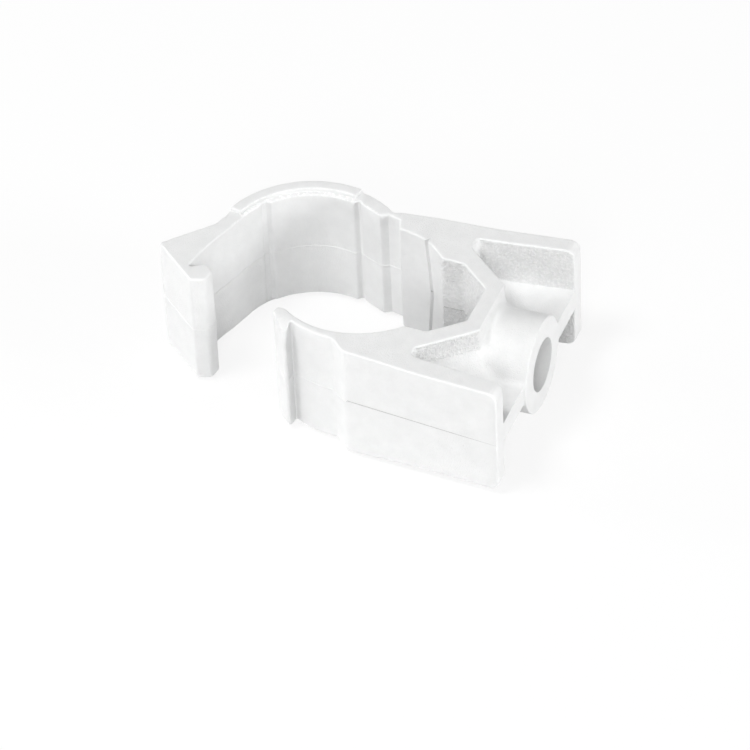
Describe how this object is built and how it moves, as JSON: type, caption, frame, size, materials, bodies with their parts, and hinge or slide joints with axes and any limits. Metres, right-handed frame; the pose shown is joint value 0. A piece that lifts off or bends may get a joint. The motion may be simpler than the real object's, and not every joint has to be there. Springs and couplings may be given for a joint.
{
  "type": "pipe clip",
  "caption": "Hinged snap-lock pipe clip in white plastic: a strap with a hook closes over the pipe and catches a barbed lip; ears and a screw boss fix it to a wall.",
  "frame": {"origin": "screw axis in the plane of the ears' wall ends, at mid-height", "axes": "+X along the screw into the wall, +Z along the pipe, so -X is the side the pipe goes in from"},
  "size_m": [0.0353, 0.0229, 0.012],
  "materials": {
    "white_plastic": "satin white moulded plastic, with a fine sparked texture in the pockets"
  },
  "bodies": {
    "root": {"clip_body": "white_plastic"}
  },
  "joints": []
}
